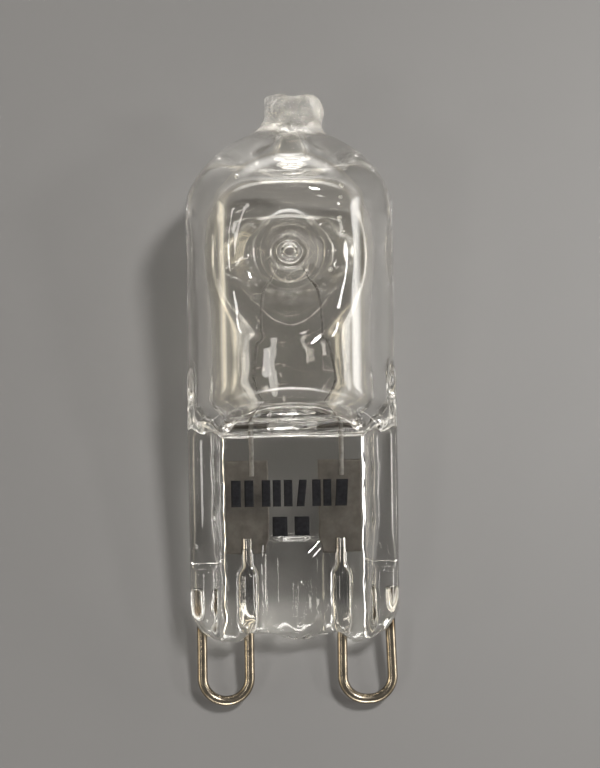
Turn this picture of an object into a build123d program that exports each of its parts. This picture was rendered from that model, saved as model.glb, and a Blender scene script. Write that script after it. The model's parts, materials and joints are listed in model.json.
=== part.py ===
"""Two-pin halogen capsule lamp for an oven, lying on its side as it comes to rest.

The lamp is drawn upright: Z is its own axis with the sealed tip up, X its width, and its front
faces -Y. Height zero is the foot of the flat pinch. The finished pieces are then laid down, with
the tip towards +Y and the front upwards.
"""

import os
from math import acos, asin, atan2, degrees, hypot, radians, sin, sqrt, tan

from build123d import *

# Capsule: the round glass body
CAPSULE_D = 13.2
CAPSULE_WALL = 1.5
BARREL_LENGTH = 11.0
KNUCKLE_R = 3.2
CROWN_EASE = 0.5
CROWN_WALL = 3.0
INNER_BEVEL_R = 3.4
INNER_BEVEL_SINK = 0.6
INNER_BEVEL_HEIGHT = 2.3

# Sealed tip, with what is left of the exhaust tube's bore above the seal
TIP_D = 3.8
TIP_LENGTH = 2.35
TIP_BEVEL = 0.35
TIP_BORE_D = 1.5
TIP_BORE_DEPTH = 1.7

# Neck: the slope where the round body was pressed flat
NECK_RISE = 3.1
NECK_R = 2.0
NECK_WALL = 1.4
NECK_INNER_R = 1.2

# Pinch: two thick rails with a thinner web between them
PINCH_HEIGHT = 13.5
RAIL_MARGIN = 0.7
RAIL_WIDTH = 2.1
RAIL_THICKNESS = 4.8
RAIL_EDGE_R = 0.9
SOLE_EDGE_R = 0.6
WEB_THICKNESS = 3.0
FLANK_RUN = 0.6
CORNER_R = 5.0
CORNER_TURN = 48.0
CORNER_SMALL_R = 0.9
LOBE_DROP = 0.4
LOBE_RUN = 1.2
EAR_R = 2.5
EAR_TURN = 50.0

# Catch: the notch across each rail that the lamp holder's springs drop into
CATCH_HEIGHT = 5.0
CATCH_DEPTH = 0.45
CATCH_RAMP = 1.6

# Raised forms on the web: a ridge over each inner pin leg and a boss in the middle
RIDGE_R = 0.62
RIDGE_PROUD = 0.35
RIDGE_LENGTH = 4.9
BOSS_WIDTH = 4.0
BOSS_HEIGHT = 6.7
BOSS_PROUD = 0.5
BOSS_TAPER = 62.0

# Pins: two hairpin loops of stiff wire
PIN_PITCH = 9.0
PIN_LOOP_WIDTH = 3.0
PIN_WIRE_D = 0.65
PIN_DROP = 4.3
INNER_LEG_DEPTH = 6.6
OUTER_LEG_DEPTH = 3.4

# Foils, leads and filament
FOIL_WIDTH = 2.8
FOIL_LENGTH = 6.0
FOIL_THICKNESS = 0.05
WELD_LAP = 1.0
WELD_SINK = 0.04
LEAD_D = 0.3
LEAD_SPACING = 5.8
LEAD_STAND = 1.5
FILAMENT_D = 0.3
FILAMENT_CLEARANCE = 0.1

# Dimples: two funnels that open out in steps, pressed in from front and back, that meet as a bridge of glass
DIMPLE_ABOVE_NECK = 8.3
DIMPLE_RIM_R = 3.55
DIMPLE_LIP_R = 2.35
DIMPLE_LIP_SINK = 0.5
DIMPLE_THROAT_R = 1.6
DIMPLE_THROAT_SINK = 1.5
DIMPLE_END_R = 0.6
DIMPLE_MEMBRANE = 1.5
BRIDGE_WAIST_R = 1.25
BRIDGE_FLARE_R = 3.6

# How closely the angle at which the lamp lies is worked out, in degrees
REST_PRECISION = 0.001

# Heights and radii that follow from the sizes above
capsule_r = CAPSULE_D / 2
bore_r = capsule_r - CAPSULE_WALL
tip_r = TIP_D / 2
rail_half = RAIL_THICKNESS / 2
web_half = WEB_THICKNESS / 2
neck_top = PINCH_HEIGHT + NECK_RISE
barrel_top = neck_top + BARREL_LENGTH
dimple_height = neck_top + DIMPLE_ABOVE_NECK
dimple_axis = Axis((0, 0, dimple_height), (0, 1, 0))
dimple_end = DIMPLE_MEMBRANE / 2

# Domed end: a knuckle that runs on into a crown a little flatter than a half ball, bevelled inside
crown_r = capsule_r + CROWN_EASE
knuckle_turn = degrees(acos((capsule_r - KNUCKLE_R) / (crown_r - KNUCKLE_R)))
crown_centre = barrel_top - (crown_r - KNUCKLE_R) * sin(radians(knuckle_turn))
tip_foot = crown_centre + sqrt(crown_r**2 - tip_r**2)
tip_top = tip_foot + TIP_LENGTH
cavity_top = tip_foot - CROWN_WALL
bevel_top = cavity_top - INNER_BEVEL_SINK
bore_top = bevel_top - INNER_BEVEL_HEIGHT

# The neck's slope, as height gained for each millimetre outwards, and where its planes would meet
neck_pitch = NECK_RISE / (capsule_r - rail_half)
neck_apex = neck_top - capsule_r * neck_pitch
cavity_apex = neck_apex + NECK_WALL * hypot(1, neck_pitch)
cavity_floor = cavity_apex + NECK_INNER_R * (hypot(1, neck_pitch) - 1)

# Wires and foils: the pin legs lie in the lamp's middle plane and the foils just behind them
wire_r = PIN_WIRE_D / 2
lead_r = LEAD_D / 2
filament_r = FILAMENT_D / 2
inner_leg_x = (PIN_PITCH - PIN_LOOP_WIDTH) / 2
outer_leg_x = (PIN_PITCH + PIN_LOOP_WIDTH) / 2
bend_height = wire_r + PIN_LOOP_WIDTH / 2 - PIN_DROP
foil_front = wire_r - WELD_SINK
foil_foot = INNER_LEG_DEPTH - WELD_LAP
foil_top = foil_foot + FOIL_LENGTH
lead_x = LEAD_SPACING / 2
lead_y = foil_front + WELD_SINK - lead_r
lead_foot = foil_top - WELD_LAP
lead_top = cavity_floor + LEAD_STAND

# The pinch reaches past the outer pin legs by the rails' margin, and the web lies between the rails
pinch_half = outer_leg_x + RAIL_MARGIN
web_edge = pinch_half - RAIL_WIDTH


def make_foil(side):
    """One sealing foil, behind the pin leg and the lead that are welded to it."""
    with BuildPart() as foil:
        with BuildSketch(Plane.XY.offset(foil_foot)):
            with Locations((side * inner_leg_x, foil_front + FOIL_THICKNESS / 2)):
                Rectangle(FOIL_WIDTH, FOIL_THICKNESS)
        extrude(amount=FOIL_LENGTH)
    return foil.part


def make_pin(side, foil):
    """One hairpin loop, with its inner leg pressed flat where it is welded to the foil."""
    with BuildPart() as pin:
        with BuildLine(Plane.XZ) as path:
            outer_leg = Line((side * outer_leg_x, OUTER_LEG_DEPTH), (side * outer_leg_x, bend_height))
            bend = JernArc(outer_leg @ 1, (0, -1), PIN_LOOP_WIDTH / 2, -180 * side)
            Line(bend @ 1, (side * inner_leg_x, INNER_LEG_DEPTH))
        with BuildSketch(Plane(origin=path.line @ 0, z_dir=path.line % 0)):
            Circle(wire_r)
        sweep()
        add(foil, mode=Mode.SUBTRACT)
    return pin.part


def make_inner_lead(side, foil):
    """One straight lead from the foil's upper end into the capsule."""
    with BuildPart() as lead:
        with BuildSketch(Plane.XY.offset(lead_foot)):
            with Locations((side * lead_x, lead_y)):
                Circle(lead_r)
        extrude(amount=lead_top - lead_foot)
        add(foil, mode=Mode.SUBTRACT)
    return lead.part


left_foil = make_foil(-1)
right_foil = make_foil(1)
left_pin = make_pin(-1, left_foil)
right_pin = make_pin(1, right_foil)
left_inner_lead = make_inner_lead(-1, left_foil)
right_inner_lead = make_inner_lead(1, right_foil)

# Filament: from each lead past the side of the bridge, bent twice to lie across the top of it
loop_r = BRIDGE_WAIST_R + FILAMENT_CLEARANCE + filament_r
leg_reach = hypot(lead_x, dimple_height - lead_top)
leg_lean = asin(loop_r / leg_reach) + atan2(dimple_height - lead_top, lead_x)
filament_top = dimple_height + loop_r
bend_x = lead_x - (filament_top - lead_top) / tan(leg_lean)
with BuildPart() as filament:
    with BuildLine(Plane.XZ.offset(-lead_y)) as coil_path:
        Polyline(
            (-lead_x, lead_top), (-bend_x, filament_top), (bend_x, filament_top), (lead_x, lead_top)
        )
    with BuildSketch(Plane(origin=coil_path.line @ 0, z_dir=coil_path.line % 0)):
        Circle(filament_r)
    sweep(transition=Transition.RIGHT)
    add([left_inner_lead, right_inner_lead], mode=Mode.SUBTRACT)

# Capsule, solid for now: turned outline of barrel, shoulder, crown and tip
with BuildPart() as capsule:
    with BuildSketch(Plane.XZ):
        with BuildLine():
            wall = Line((capsule_r, neck_apex), (capsule_r, barrel_top))
            knuckle = JernArc(wall @ 1, (0, 1), KNUCKLE_R, knuckle_turn)
            RadiusArc(knuckle @ 1, (tip_r, tip_foot), -crown_r)
            Polyline(
                (tip_r, tip_foot),
                (tip_r, tip_top - TIP_BEVEL),
                (tip_r - TIP_BEVEL, tip_top),
                (0, tip_top),
                (0, neck_apex),
                wall @ 0,
            )
        make_face()
    revolve(axis=Axis.Z)

    # The neck is pressed flat from front and back, down to an edge inside the pinch
    with BuildSketch(Plane.YZ):
        with BuildLine():
            FilletPolyline(
                (-capsule_r, tip_top), (-capsule_r, neck_top), (0, neck_apex),
                (capsule_r, neck_top), (capsule_r, tip_top),
                radius=[NECK_R, 0, NECK_R],
            )
            Line((capsule_r, tip_top), (-capsule_r, tip_top))
        make_face()
    extrude(amount=capsule_r, both=True, mode=Mode.INTERSECT)

    # What is left of the exhaust bore above the seal
    with BuildSketch(Plane.XY.offset(tip_top)):
        Circle(TIP_BORE_D / 2)
    extrude(amount=-TIP_BORE_DEPTH, mode=Mode.SUBTRACT)

# Pinch: a slab with rounded edges, notched rails and a recessed web on both faces
turn_drop = sin(radians(CORNER_TURN))
corner_start = CORNER_R * turn_drop + CORNER_SMALL_R * (1 - turn_drop) - LOBE_DROP
slab_top = neck_top + EAR_R * sin(radians(EAR_TURN))
with BuildPart() as pinch:
    # Front outline: wavy foot, rounded lower corners, and ears that run into the capsule
    with BuildSketch(Plane.XZ):
        with BuildLine():
            foot = Line((0, 0), (inner_leg_x - wire_r, 0))
            lobe_middle = foot @ 1 + Vector(LOBE_RUN / 2, -LOBE_DROP / 2)
            lobe_end = foot @ 1 + Vector(LOBE_RUN, -LOBE_DROP)
            lobe_top = TangentArc(foot @ 1, lobe_middle, tangent=(1, 0))
            TangentArc(lobe_middle, lobe_end, tangent=lobe_top % 1)
            corner = JernArc((pinch_half, corner_start), (0, -1), CORNER_R, -CORNER_TURN)
            small_corner = JernArc(corner @ 1, corner % 1, CORNER_SMALL_R, CORNER_TURN - 90)
            Line(small_corner @ 1, lobe_end)
            ear = JernArc((pinch_half, neck_top), (0, 1), EAR_R, EAR_TURN)
            Line(corner @ 0, ear @ 0)
            Polyline(ear @ 1, (0, slab_top), (0, 0))
        make_face()
        mirror(about=Plane.YZ)
    extrude(amount=rail_half, both=True)

    # Section: rounded along the outer edges of the rails
    with BuildSketch(Plane.XY.offset(-LOBE_DROP)):
        RectangleRounded(2 * pinch_half, RAIL_THICKNESS, RAIL_EDGE_R)
    extrude(amount=slab_top + LOBE_DROP, mode=Mode.INTERSECT)

    # Side outline: rounded along the sole
    with BuildSketch(Plane.YZ):
        with BuildLine():
            FilletPolyline(
                (-rail_half, slab_top),
                (-rail_half, -LOBE_DROP),
                (rail_half, -LOBE_DROP),
                (rail_half, slab_top),
                radius=SOLE_EDGE_R,
            )
            Line((rail_half, slab_top), (-rail_half, slab_top))
        make_face()
    extrude(amount=pinch_half, both=True, mode=Mode.INTERSECT)

    # Catch notches, cut across both faces of both rails
    with BuildSketch(Plane.YZ):
        with BuildLine():
            Polyline(
                (rail_half, CATCH_HEIGHT),
                (rail_half - CATCH_DEPTH, CATCH_HEIGHT),
                (rail_half, CATCH_HEIGHT + CATCH_RAMP),
                close=True,
            )
        make_face()
        mirror(about=Plane.YZ)
    extrude(amount=pinch_half, both=True, mode=Mode.SUBTRACT)

    # Recess between the rails, with sloping flanks
    with BuildSketch(Plane.XY.offset(-LOBE_DROP)):
        with BuildLine():
            Polyline(
                (-web_edge, web_half),
                (web_edge, web_half),
                (web_edge + FLANK_RUN, rail_half),
                (-web_edge - FLANK_RUN, rail_half),
                close=True,
            )
        make_face()
        mirror(about=Plane.XZ)
    extrude(amount=PINCH_HEIGHT + LOBE_DROP, mode=Mode.SUBTRACT)

    # Ridge over each inner pin leg, front and back
    ridge_y = web_half + RIDGE_PROUD - RIDGE_R
    with GridLocations(2 * inner_leg_x, 2 * ridge_y, 2, 2):
        Cylinder(RIDGE_R, RIDGE_LENGTH, align=(Align.CENTER, Align.CENTER, Align.MIN))

    # Boss in the middle of the web, front and back, with sloping sides
    for web_plane in (Plane.XZ.offset(web_half), Plane.XZ.offset(-web_half)):
        with BuildSketch(web_plane):
            with Locations((0, BOSS_HEIGHT / 2)):
                Rectangle(BOSS_WIDTH, BOSS_HEIGHT)
        outwards = BOSS_PROUD if web_plane.origin.Y < 0 else -BOSS_PROUD
        extrude(amount=outwards, taper=BOSS_TAPER)

# Cavity of the capsule, less the glass bridge that crosses it
with BuildPart() as cavity:
    with BuildSketch(Plane.XZ):
        with BuildLine():
            Polyline(
                (0, cavity_apex),
                (bore_r, cavity_apex),
                (bore_r, bore_top),
                (INNER_BEVEL_R, bevel_top),
                (0, cavity_top),
                close=True,
            )
        make_face()
    revolve(axis=Axis.Z)
    with BuildSketch(Plane.YZ):
        with BuildLine():
            FilletPolyline(
                (-bore_r, tip_top), (-bore_r, cavity_apex + bore_r * neck_pitch), (0, cavity_apex),
                (bore_r, cavity_apex + bore_r * neck_pitch), (bore_r, tip_top),
                radius=[NECK_R, NECK_INNER_R, NECK_R],
            )
            Line((bore_r, tip_top), (-bore_r, tip_top))
        make_face()
    extrude(amount=bore_r, both=True, mode=Mode.INTERSECT)
    with BuildSketch(Plane.XY.offset(dimple_height)):
        with BuildLine():
            Polyline(
                (0, -capsule_r),
                (BRIDGE_FLARE_R, -capsule_r),
                (BRIDGE_WAIST_R, -dimple_end),
                (BRIDGE_WAIST_R, dimple_end),
                (BRIDGE_FLARE_R, capsule_r),
                (0, capsule_r),
                close=True,
            )
        make_face()
    revolve(axis=dimple_axis, mode=Mode.SUBTRACT)

# Dimples: what the two funnels take out of the glass
with BuildPart() as dimples:
    with BuildSketch(Plane.XY.offset(dimple_height)):
        with BuildLine():
            Polyline(
                (0, dimple_end),
                (DIMPLE_END_R, dimple_end),
                (DIMPLE_THROAT_R, capsule_r - DIMPLE_THROAT_SINK),
                (DIMPLE_LIP_R, capsule_r - DIMPLE_LIP_SINK),
                (DIMPLE_RIM_R, capsule_r),
                (0, capsule_r),
                close=True,
            )
        make_face()
    revolve(axis=dimple_axis)
    mirror(about=Plane.XZ)

# Glass envelope: capsule and pinch in one, hollowed, dimpled, and closed round what is sealed in it
with BuildPart() as glass_envelope:
    add(capsule.part)
    add(pinch.part)
    add(cavity.part, mode=Mode.SUBTRACT)
    add(dimples.part, mode=Mode.SUBTRACT)
    for sealed in (left_pin, right_pin, left_foil, right_foil, left_inner_lead, right_inner_lead):
        add(sealed, mode=Mode.SUBTRACT)


def height_of_lowest(piece, tilt):
    """Height of a piece's lowest point when the lamp lies on its back with its tip raised by tilt."""
    return piece.moved(Location((0, 0, 0), (tilt - 90, 0, 0))).bounding_box().min.Z


# Rest: the tip rises until the capsule's shoulder and the rails' soles touch the floor together
flattest, steepest = 0.0, 45.0
while steepest - flattest > REST_PRECISION:
    rest_tilt = (flattest + steepest) / 2
    if height_of_lowest(pinch.part, rest_tilt) > height_of_lowest(capsule.part, rest_tilt):
        flattest = rest_tilt
    else:
        steepest = rest_tilt

pieces = {
    "glass_envelope": glass_envelope.part,
    "filament": filament.part,
    "left_inner_lead": left_inner_lead,
    "right_inner_lead": right_inner_lead,
    "left_foil": left_foil,
    "right_foil": right_foil,
    "left_pin": left_pin,
    "right_pin": right_pin,
}
laid_down = Location((0, 0, 0), (rest_tilt - 90, 0, 0))
boxes = [piece.moved(laid_down).bounding_box() for piece in pieces.values()]
lowest = min(box.min.Z for box in boxes)
nearest = min(box.min.Y for box in boxes)
farthest = max(box.max.Y for box in boxes)
at_rest = Location((0, -(nearest + farthest) / 2, -lowest)) * laid_down

os.makedirs("parts", exist_ok=True)
for name, piece in pieces.items():
    piece.move(at_rest)
    piece.label = name
    export_step(piece, f"parts/{name}.step")
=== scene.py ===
"""Looks of the halogen capsule lamp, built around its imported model.

The lamp's own frame is used for every shape: millimetres, Z along the lamp with the sealed tip up,
X across it, the front towards -Y, and height zero at the foot of the pinch. The record's mount gives
where that frame lies.
"""

import json
import math

import bpy
import numpy as np
from bpy.props import FloatProperty, FloatVectorProperty, IntProperty, PointerProperty
from mathutils import Matrix, Vector


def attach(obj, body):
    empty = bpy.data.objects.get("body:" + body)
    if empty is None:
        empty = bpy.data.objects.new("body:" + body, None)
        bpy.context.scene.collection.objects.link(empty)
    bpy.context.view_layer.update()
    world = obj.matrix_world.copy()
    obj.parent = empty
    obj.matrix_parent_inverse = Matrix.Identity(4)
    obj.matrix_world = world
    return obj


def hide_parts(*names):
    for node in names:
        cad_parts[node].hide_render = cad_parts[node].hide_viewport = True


bl_info = {
    "name": "Halogen Capsule Lamp",
    "version": (1, 0, 0),
    "blender": (4, 5, 0),
    "location": "View3D > Sidebar > Lamp",
    "description": "Builds a clear capsule lamp with its coil, foils and hairpin pins, and a plain studio",
    "category": "Object",
}

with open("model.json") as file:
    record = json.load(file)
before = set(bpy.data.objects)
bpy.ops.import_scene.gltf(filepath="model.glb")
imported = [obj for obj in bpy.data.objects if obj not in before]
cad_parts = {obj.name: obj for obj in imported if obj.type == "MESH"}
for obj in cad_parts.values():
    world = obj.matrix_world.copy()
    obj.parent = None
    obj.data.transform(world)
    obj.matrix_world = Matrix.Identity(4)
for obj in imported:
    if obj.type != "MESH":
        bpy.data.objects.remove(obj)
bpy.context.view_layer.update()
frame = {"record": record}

BODY = "root"
MM = 0.001

# Shapes are in millimetres. A ROUND is the width over which an edge is rounded, and a BLEND is the width
# over which two forms run into each other. EDGE_ROUND is for the plain edges.
EDGE_ROUND = 0.3

# Round body and its cavity
CAPSULE_R = 6.58
BORE_R = 5.1
NECK_TOP = 16.6
NECK_PITCH = 0.738
NECK_APEX = 11.73
NECK_ROUND = 0.8
BARREL_TOP = 27.6
KNUCKLE_R = 3.2
CROWN_R = 7.1
CAVITY_APEX = 11.2
CAVITY_TOP = 29.5
CAVITY_END_R = 2.6
CAVITY_FLOOR_ROUND = 1.2
TROUGH_R = 4.0
NIPPLE_FOOT = 28.5
NIPPLE_TOP = 31.5
NIPPLE_R = 1.15
NIPPLE_END_R = 0.4
NIPPLE_ROUND = 0.5
NIPPLE_BLEND = 0.9

# Sealed tip
TIP_FOOT = 32.5
TIP_TOP = 34.86
TIP_R = 1.88
TIP_SHIFT = 0.3
TIP_TAPER = 0.1
TIP_TAPER_START = 33.1
TIP_CREST_DROP = 0.1
TIP_BORE_R = 0.75
TIP_BORE_FOOT = 33.2
TIP_ROUND = 0.6
TIP_BORE_ROUND = 0.5
TIP_RIM_ROUND = 0.4
TIP_BLEND = 0.8

# Pinch with its rails and recessed web; pairs are for the left and the right
PINCH_HALF = 6.67
PINCH_HEIGHT = 13.5
PINCH_ROUND = 1.3
PINCH_BLEND = 0.25
RAIL_HALF = 2.4
WEB_HALF = 1.5
WEB_EDGE = 4.6
FLANK_RUN = 0.6
STEP_HEIGHT = 13.3
STEP_RUN = 0.5
RECESS_ROUND = 0.25
CORNER_R = (3.4, 4.2)
CORNER_HEIGHT = (2.55, 3.0)
EAR_R = 2.5
CATCH_HEIGHT = 5.0
CATCH_DEPTH = 0.45
CATCH_RAMP = 1.6
CATCH_RIM_ROUND = 0.4

# Foot of the pinch
FOOT_DROP = 0.12
FOOT_FRONT_ROUND = 2.6
FOOT_BACK_ROUND = 1.5
FOOT_TURN = 1.0
LOBE_DROP = 0.62
LOBE_START = 2.65
LOBE_RUN = 1.2
FOOT_LUMP = 0.05
FOOT_LUMP_FADE = (0.6, 3.2)
FOOT_LUMP_RATE = 3.7
FOOT_LUMP_SWAY = (0.9, 1.3)
FOOT_LUMP_RATES = (0.7, 0.3, 2.9)

# Ridges over the pin legs, boss between them and the rib on the boss
RIDGE_R = 0.62
RIDGE_OUT = 1.23
RIDGE_LENGTH = 4.9
RIDGE_BLEND = 0.25
BOSS_HALF = 2.0
BOSS_HEIGHT = 6.7
BOSS_PROUD = 0.5
BOSS_RUN = 0.94
BOSS_FACE_ROUND = 0.1
RIB_X = 0.3
RIB_R = 0.28
RIB_SUNK = 0.1
RIB_MIDDLE = 2.4
RIB_HALF = 1.6
RIB_BLEND = 0.2
FORMS_FOOT = -0.1
FORMS_BLEND = 0.15

# Dimples and the bridge of glass between them
DIMPLE_HEIGHT = 24.9
DIMPLE_END_R = 0.6
DIMPLE_END = 0.75
DIMPLE_END_ROUND = 0.5
DIMPLE_ROUND = 1.2
DIMPLE_STRETCH = 1.08
FUNNEL_LEAN = math.radians(12)
LIP_R = 3.9
LIP_LEAN = math.radians(15)
LIP_FADE = 1.2
BRIDGE_WAIST_R = 1.25
BRIDGE_FLARE_R = 3.6
BRIDGE_STRETCH = 1.12
BRIDGE_EVEN = 0.93
BRIDGE_BLEND = 2.6

# Waves of a surface: height of each, its rates along the two places that it runs over, and its start
TIP_LUMPS = ((0.10, 3.0, 1.9, 0.0), (0.07, 5.0, -2.6, 1.0))
TIP_CREST = ((0.06, 2.0, 0.0, 0.7), (0.05, 5.0, 0.0, 0.0))
FLANK_WAVES = ((0.025, 2.1, 0.4, 0.0), (0.012, 5.3, 1.3, 0.0))
WEB_WAVES = (
    (0.01, 2.3, -0.9, math.pi / 2.0 - 0.5), (-0.01, 2.3, 2.5, math.pi / 2.0 + 0.5), (0.012, 1.1, 5.1, 0.0),
)
BORE_WAVES = ((0.02, 0.9, 2.0, 0.0), (0.015, 1.7, 0.0, 0.6))
FOIL_BOW = ((0.012, 9.0, 2.0, 0.0),)
FOIL_CREASES = ((0.008, 23.0, 3.0, 0.0),)

# Bubbles in the front wall: place across and along the lamp, and radius
BUBBLES = (
    (-3.15, 29.6, 0.17), (3.2, 28.9, 0.16), (3.1, 28.2, 0.12), (3.05, 27.0, 0.14),
    (3.25, 26.1, 0.11), (2.55, 23.8, 0.15),
)

# Pins, and the narrow gaps round their legs in the glass
INNER_LEG_X = 3.0
OUTER_LEG_X = 6.0
INNER_LEG_TOP = 6.6
OUTER_LEG_TOP = 3.4
OUTER_LEG_SPLAY = (0.05, 0.27)
PIN_FOOT = -3.975
PIN_BEND_R = 1.49
PIN_BEND_STEPS = 24
PIN_SIDES = 40
WIRE_R = 0.325
CAPILLARY_R = 0.37
INNER_CAPILLARY_TOP = 6.1
OUTER_CAPILLARY_TOP = 3.5

# Leads and filament
LEAD_R = 0.15
LEAD_X = (-2.65, 3.1)
LEAD_Y = 0.175
LEAD_FOOT = 10.6
LEAD_TOP = 15.26
LEAD_SIDES = 24
LOOP_R = 1.5
LOOP_STEPS = 40
COIL_STEPS = 10
COIL_SIDES = 6

# Foils
FOIL_WIDTH = 2.8
FOIL_LENGTH = 6.0
FOIL_THICKNESS = 0.05
FOIL_FEATHER = 0.92
FOIL_FOOT = 5.6
FOIL_Y = 0.31
FOIL_GRID = (25, 41)

# Printed marks, a row of bars over a row of blocks: foot and top of a row, and the left edge, width and
# lean of each mark in it
MARK_ROWS = (
    (8.75, 10.45, (
        (-3.95, 0.62, 0.0), (-3.1, 0.58, 0.0), (-2.0, 0.55, 0.0), (-1.3, 0.52, 0.0), (-0.6, 0.55, 0.0),
        (0.2, 0.5, 0.18), (1.2, 0.55, 0.0), (1.9, 0.52, 0.0), (2.65, 0.75, 0.1),
    )),
    (6.85, 8.1, ((-1.35, 0.95, 0.0), (0.05, 0.95, 0.0))),
)
MARK_GRID = (5, 9)
INK_PROUD = 0.008
INK_SUNK = 0.004

# Meshing of the glass: the box round it, and steps in shares of a grid cell
GLASS_LOW = (-6.8, -6.7, -0.6)
GLASS_HIGH = (6.8, 6.7, 35.0)
GLASS_ROUNDS = 3
BUBBLE_ROUNDS = 2
BUBBLE_CELLS = 4.0
NET_MARGIN = 1.5
SLOPE_REACH = 0.1
LEAST_SLOPE = 0.05
LONGEST_MOVE = 0.5
WEB_STEPS = 6

# Finish of the glass: bands along the lamp, across it or out from its axis, each from, to and softness
# Painted shade: across the web, less across its rails, and along the pinch, the glass is tinted darker for
# the shade that the pinch casts on the floor beneath it.
WEB_BAND = (-WEB_EDGE, WEB_EDGE, 0.4)
WEB_SHADE_RUN = (2.6, 15.0, 0.7)
# Painted shade: the bore, along the cavity, is tinted darker for the lamp's own shade on the floor seen
# through it.
BORE_BAND = (-1.0, BORE_R + 0.4, 0.2)
BORE_SHADE_RUN = (PINCH_HEIGHT, CAVITY_TOP + 0.2, 0.3)
MILKY_BAND = (TIP_FOOT - 0.2, TIP_TOP + 1.0, 0.8)
FROST_BAND = (-3.0, -0.1, 0.4)
GATHER_BAND = (-3.0, 2.4, 1.2)
RAIL_SHADE_SHARE = 0.7
FROST = 0.06
TIP_PATCH = 0.9
TIP_CONTRAST = 2.0
TIP_BUMP = 0.2
SHADOW_CLEAR = (0.38, 0.38, 0.375)
SHADOW_GATHERED = (0.85, 0.85, 0.83)
SHADOW_EDGE = (0.1, 0.1, 0.097)
SHADOW_EDGE_BLEND = 0.35

# Finish of the metals, the ink and the floor
METAL_CONTRAST = 2.2
GRAIN_CONTRAST = 1.5
GRAIN_STRENGTH = 0.15
GRAIN_BUMP = 0.02
LEG_BAND = (-WEB_EDGE, WEB_EDGE, 0.2)
SEAL_BAND = (0.6, TIP_TOP, 0.3)
BURNT_END = (0.11, 0.08, 0.05)
INK_PATCH = 0.25
INK_CONTRAST = 2.0
INK_THIN = 2.5
INK_ROUGHNESS = (0.45, 0.6)
INK_SHINE = 0.1
FLOOR_PATCH = 6.0
FLOOR_CONTRAST = 0.6
FLOOR_SHADES = (0.97, 1.03)
FLOOR_ROUGHNESS = 0.45

# Room: its colours from the horizon to straight up, and the share of its light that the floor takes
ROOM_COLOURS = (
    (0.0, (0.9, 0.8, 0.6)), (0.25, (0.8, 0.74, 0.62)), (0.5, (0.16, 0.16, 0.16)), (1.0, (0.2, 0.2, 0.2)),
)
FLOOR_SHARE = 0.5

# Lights, and the windows on four sides, a wide and a narrow one on each: the axis that a window lies on,
# the directions that it spans on it and their softness, its top, colour and share of the brightness
DAYLIGHT = (1.0, 0.98, 0.95)
SOFT_LIGHT = (1.0, 0.97, 0.93)
PALE_LIGHT = (1.0, 0.97, 0.92)
WARM_LIGHT = (1.0, 0.9, 0.7)
LEFT_GLINT_SHARE = 0.4
WINDOW_FOOT = 0.12
WINDOW_SOFT = 0.08
WINDOWS = (
    ("X", 0.82, 2.0, 0.08, 0.3, PALE_LIGHT, 0.7),
    ("X", 0.95, 2.0, 0.01, 0.4, DAYLIGHT, 2.4),
    ("X", -2.0, -0.85, 0.08, 0.3, WARM_LIGHT, 0.5),
    ("X", -2.0, -0.97, 0.01, 0.3, WARM_LIGHT, 2.2),
    ("Y", -2.0, -0.8, 0.08, 0.3, DAYLIGHT, 0.6),
    ("Y", -2.0, -0.95, 0.01, 0.4, DAYLIGHT, 3.0),
    ("Y", 0.8, 2.0, 0.08, 0.3, DAYLIGHT, 1.4),
    ("Y", 0.988, 2.0, 0.004, 0.3, DAYLIGHT, 5.0),
)

# Camera
PICTURE_SIZE = (600, 768)
SENSOR_MM = 36.0
CAMERA_RISE = 80.09
CAMERA_ROLL = -0.908
CAMERA_DISTANCE = 150.0
CAMERA_FOCUS_PX = 2350.5
CAMERA_TARGET = (0.537, 0.875, 6.5)
CAMERA_NEAR = 10.0
BOUNCES = {"max_bounces": 24, "transmission_bounces": 24, "glossy_bounces": 12, "transparent_max_bounces": 24}

# Kinds of setting
COLOUR = {"size": 3, "min": 0.0, "max": 1.0, "subtype": "COLOR"}
LENGTH = {"subtype": "DISTANCE", "unit": "LENGTH"}
POWER = {"min": 0.0, "max": 100.0, "unit": "POWER"}


def lamp_frame():
    """Matrix from the lamp's own frame in millimetres to the row frame in metres."""
    mount = frame["record"]["mounts"][0]
    up = -Vector(mount["axis"]).normalized()
    across = Vector((1.0, 0.0, 0.0))
    back = up.cross(across)
    turn = Matrix((across, back, up)).transposed().to_4x4()
    return Matrix.Translation(mount["pos_m"]) @ turn @ Matrix.Scale(MM, 4)


LAMP = lamp_frame()


def smooth_max(a, b, width):
    """Larger of two distances, with the edge where they meet rounded over a width."""
    blend = np.maximum(width - np.abs(a - b), 0.0) / width
    return np.maximum(a, b) + blend * blend * width * 0.25


def smooth_min(a, b, width):
    """Smaller of two distances, with the corner where they meet filled over a width."""
    return -smooth_max(-a, -b, width)


def slope(value, start, end):
    """Smooth step from nought to one between two places."""
    t = np.clip((value - start) / (end - start), 0.0, 1.0)
    return t * t * (3.0 - 2.0 * t)


def ripple(u, v, waves):
    """Sum of slanted waves over two places."""
    return sum(height * np.sin(u_rate * u + v_rate * v + start) for height, u_rate, v_rate, start in waves)


def by_side(x, pair):
    """First of a pair left of the middle, second of it on the right."""
    return np.where(x < 0.0, *pair)


def capsule(x, y, z):
    """Round body with its domed end, pressed flat at the neck."""
    rho = np.hypot(x, y)
    knuckle_at = CAPSULE_R - KNUCKLE_R
    crown_at = BARREL_TOP - math.sqrt((CROWN_R - KNUCKLE_R) ** 2 - knuckle_at**2)
    on_crown = rho * (BARREL_TOP - crown_at) < (z - crown_at) * knuckle_at
    crown = np.hypot(rho, z - crown_at) - CROWN_R
    knuckle = np.hypot(rho - knuckle_at, z - BARREL_TOP) - KNUCKLE_R
    dome = np.where(z <= BARREL_TOP, rho - CAPSULE_R, np.where(on_crown, crown, knuckle))
    neck = (NECK_APEX + NECK_PITCH * np.abs(y) - z) / math.hypot(1.0, NECK_PITCH)
    return smooth_max(dome, neck, NECK_ROUND)


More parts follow.
